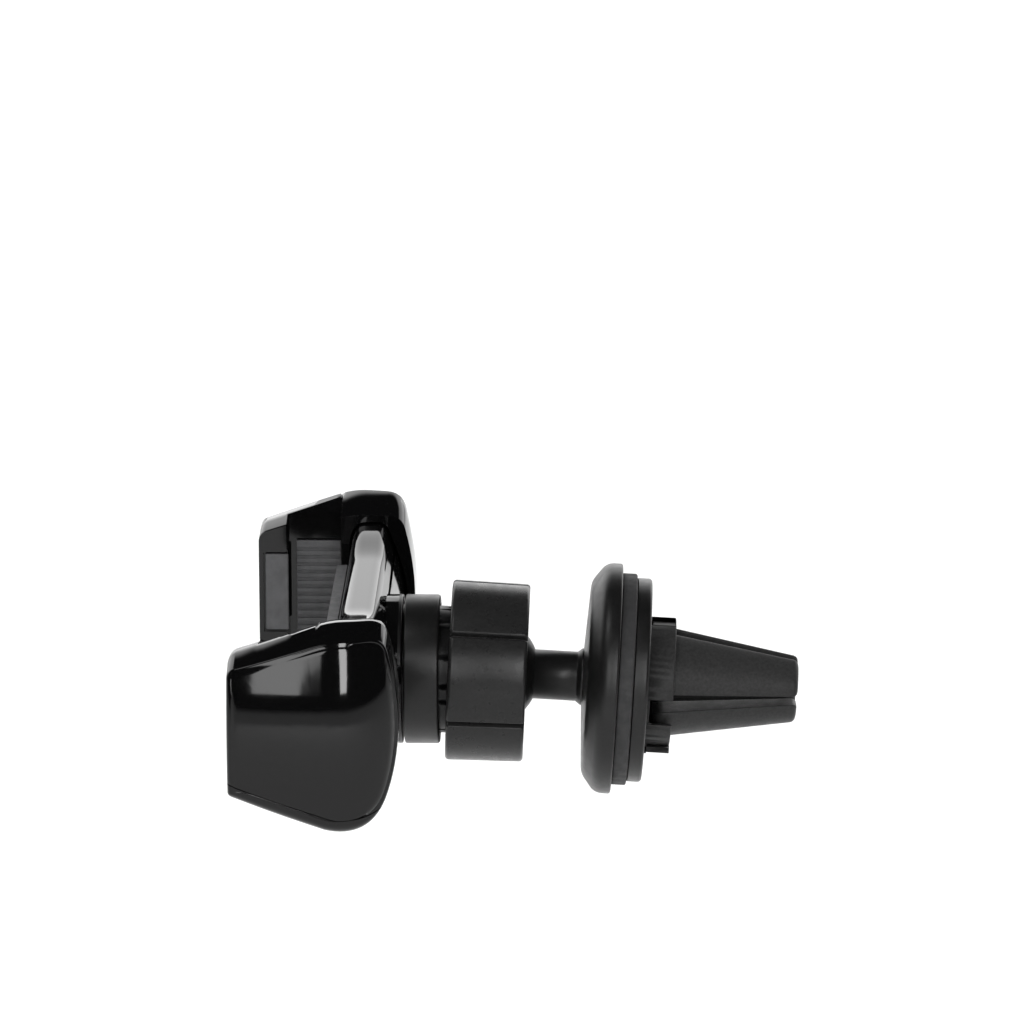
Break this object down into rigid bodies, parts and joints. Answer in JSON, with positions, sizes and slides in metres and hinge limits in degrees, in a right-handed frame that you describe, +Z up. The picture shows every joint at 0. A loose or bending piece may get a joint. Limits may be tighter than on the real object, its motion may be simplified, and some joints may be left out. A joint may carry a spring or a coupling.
{
  "type": "car phone mount",
  "caption": "Vent-clip car phone holder: two spring-loaded sliding arms on a body that turns on a lockable ball joint, with a round base and a cross-slotted clip.",
  "frame": {"origin": "centre of the cradle pad's front face, where the phone's back rests", "axes": "+X from the phone to the air vent, +Y along the arms' travel to the holder's left arm, +Z up along the phone's height"},
  "size_m": [0.0828, 0.088, 0.0365],
  "materials": {
    "piano_black": "high gloss",
    "satin_black": "satin with a fine spark texture",
    "textured_black": "fine grained",
    "soft_grey": "matte silicone",
    "seal_rubber": "matte rubber",
    "acetal": "natural acetal",
    "steel": "zinc plated"
  },
  "bodies": {
    "vent_side": {"ball_stud": "satin_black", "dome_cap": "satin_black", "seal_ring": "seal_rubber", "base_plate": "satin_black", "clip_base": "textured_black", "clip_screw": "steel"},
    "upper_fingers": {"upper_right_finger": "textured_black", "upper_left_finger": "textured_black"},
    "lower_fingers": {"lower_right_finger": "textured_black", "lower_left_finger": "textured_black"},
    "seat": {"ball_seat": "acetal"},
    "cushion": {"seat_cushion": "soft_grey"},
    "holder": {"front_shell": "piano_black", "back_cover": "satin_black", "cradle_pad": "soft_grey", "collar_ring": "satin_black", "pinion_pin": "steel", "return_spring": "steel", "housing_screw_1": "steel", "housing_screw_2": "steel", "housing_screw_3": "steel", "housing_screw_4": "steel"},
    "ring": {"friction_ring": "acetal"},
    "nut": {"clamp_nut": "satin_black"},
    "pinion": {"pinion": "acetal"},
    "right_arm": {"right_arm_shell": "piano_black", "right_arm_lower_cover": "piano_black", "right_rack": "acetal", "right_side_pad": "soft_grey", "right_lip_pad": "soft_grey", "right_rack_screw_1": "steel", "right_rack_screw_2": "steel"},
    "left_arm": {"left_arm_shell": "piano_black", "left_arm_lower_cover": "piano_black", "left_rack": "acetal", "left_side_pad": "soft_grey", "left_lip_pad": "soft_grey", "left_rack_screw_1": "steel", "left_rack_screw_2": "steel"}
  },
  "joints": [
    {"name": "pan", "type": "hinge", "parent": "vent_side", "child": "seat", "pos_m": [0.023, 0, -0.0003], "axis": [0, 0, 1], "range_deg": [-16, 16]},
    {"name": "tilt", "type": "hinge", "parent": "seat", "child": "cushion", "pos_m": [0.023, 0, -0.0003], "axis": [0, 1, 0], "range_deg": [-16, 16]},
    {"name": "spin", "type": "hinge", "parent": "cushion", "child": "holder", "pos_m": [0.023, 0, -0.0003], "axis": [0.999, 0, -0.0436], "continuous": true},
    {"name": "ring_travel", "type": "slide", "parent": "holder", "child": "ring", "axis": [0.999, 0, -0.0436], "range_m": [-0.00012, 0.00155]},
    {"name": "nut_turn", "type": "hinge", "parent": "ring", "child": "nut", "pos_m": [0.023, 0, -0.0003], "axis": [0.999, 0, -0.0436], "range_deg": [-20, 270]},
    {"name": "right_arm_slide", "type": "slide", "parent": "holder", "child": "right_arm", "axis": [0, -1, 0], "range_m": [-0.0035, 0.0058], "stiffness_N_per_m": 120, "springref_m": -0.006},
    {"name": "left_arm_slide", "type": "slide", "parent": "holder", "child": "left_arm", "axis": [0, 1, 0], "range_m": [-0.0035, 0.0058]},
    {"name": "pinion_turn", "type": "hinge", "parent": "holder", "child": "pinion", "pos_m": [0.0055, 0, 0.0023], "axis": [1, 0, 0], "range_deg": [-42, 68]},
    {"name": "upper_fingers_flex", "type": "hinge", "parent": "vent_side", "child": "upper_fingers", "pos_m": [0.04868, 0, 0.00227], "axis": [0, -1, 0], "range_deg": [0, 3], "stiffness_Nm_per_rad": 0.8},
    {"name": "lower_fingers_flex", "type": "hinge", "parent": "vent_side", "child": "lower_fingers", "pos_m": [0.04818, 0, -0.00672], "axis": [0, 1, 0], "range_deg": [0, 3], "stiffness_Nm_per_rad": 0.8}
  ],
  "couplings": [
    {"joint": "ring_travel", "follows": "nut_turn", "m_per_rad": 0.00031831},
    {"joint": "left_arm_slide", "follows": "right_arm_slide", "ratio": 1},
    {"joint": "pinion_turn", "follows": "right_arm_slide", "rad_per_m": 200}
  ]
}
